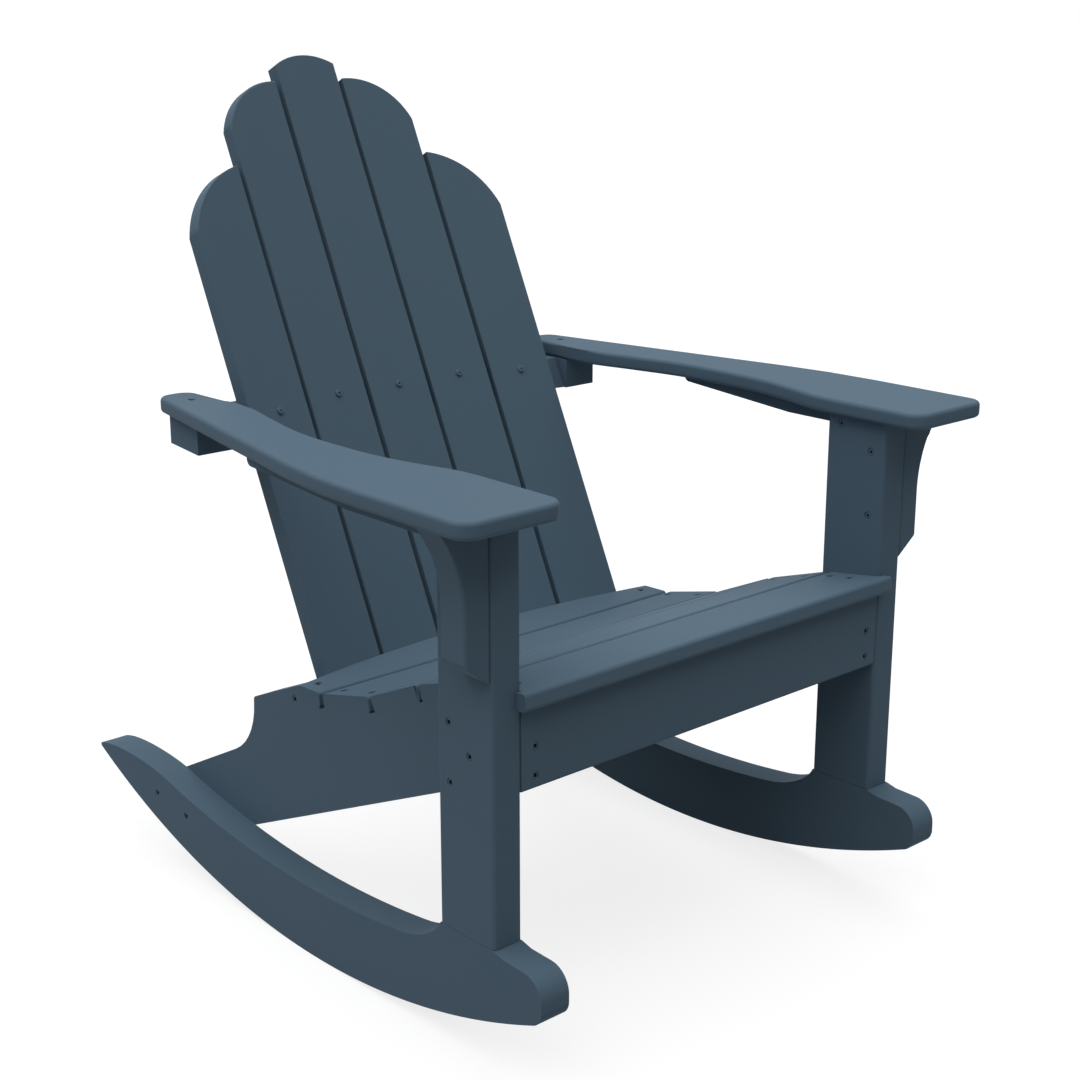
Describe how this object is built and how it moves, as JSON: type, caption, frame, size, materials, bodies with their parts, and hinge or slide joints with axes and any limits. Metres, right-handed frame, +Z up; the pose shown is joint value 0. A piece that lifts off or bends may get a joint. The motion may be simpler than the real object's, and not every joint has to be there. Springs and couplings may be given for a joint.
{
  "type": "rocking adirondack chair",
  "caption": "Slatted outdoor armchair on curved rockers, with a fanned reclined back, a contoured seat and wide flat arms.",
  "frame": {"origin": "on the floor, under the middle of the chair's bounding box, with the rockers' curves touching the floor", "axes": "+X to the sitter's left, +Y to the rear of the chair, +Z up"},
  "size_m": [0.7984, 0.875, 0.9988],
  "materials": {
    "frame_lumber": "matte slate blue plastic lumber with a fine brushed grain",
    "slat_lumber": "matte slate blue plastic lumber with a fine brushed grain",
    "arm_lumber": "matte slate blue plastic lumber with a fine brushed grain",
    "dowel_wood": "plain turned beech",
    "screw_steel": "dull stainless steel"
  },
  "bodies": {
    "root": {"rocker_left": "frame_lumber", "rocker_right": "frame_lumber", "leg_left": "frame_lumber", "leg_right": "frame_lumber", "leg_dowels": "dowel_wood", "stringer_left": "frame_lumber", "stringer_right": "frame_lumber", "front_apron": "slat_lumber", "seat_slat_1": "slat_lumber", "seat_slat_2": "slat_lumber", "seat_slat_3": "slat_lumber", "seat_slat_4": "slat_lumber", "seat_slat_5": "slat_lumber", "arm_left": "arm_lumber", "arm_right": "arm_lumber", "arm_bracket_left": "frame_lumber", "arm_bracket_right": "frame_lumber", "arm_support_left": "frame_lumber", "arm_support_right": "frame_lumber", "upper_back_rail": "frame_lumber", "lower_back_rail": "frame_lumber", "back_slat_1": "slat_lumber", "back_slat_2": "slat_lumber", "back_slat_3": "slat_lumber", "back_slat_4": "slat_lumber", "back_slat_5": "slat_lumber", "rocker_screws": "screw_steel", "leg_screws": "screw_steel", "bracket_screws": "screw_steel", "apron_screws": "screw_steel", "seat_screws": "screw_steel", "arm_screws": "screw_steel", "arm_support_screws": "screw_steel", "upper_rail_screws": "screw_steel", "lower_rail_screws": "screw_steel", "back_side_screws": "screw_steel"}
  },
  "joints": []
}
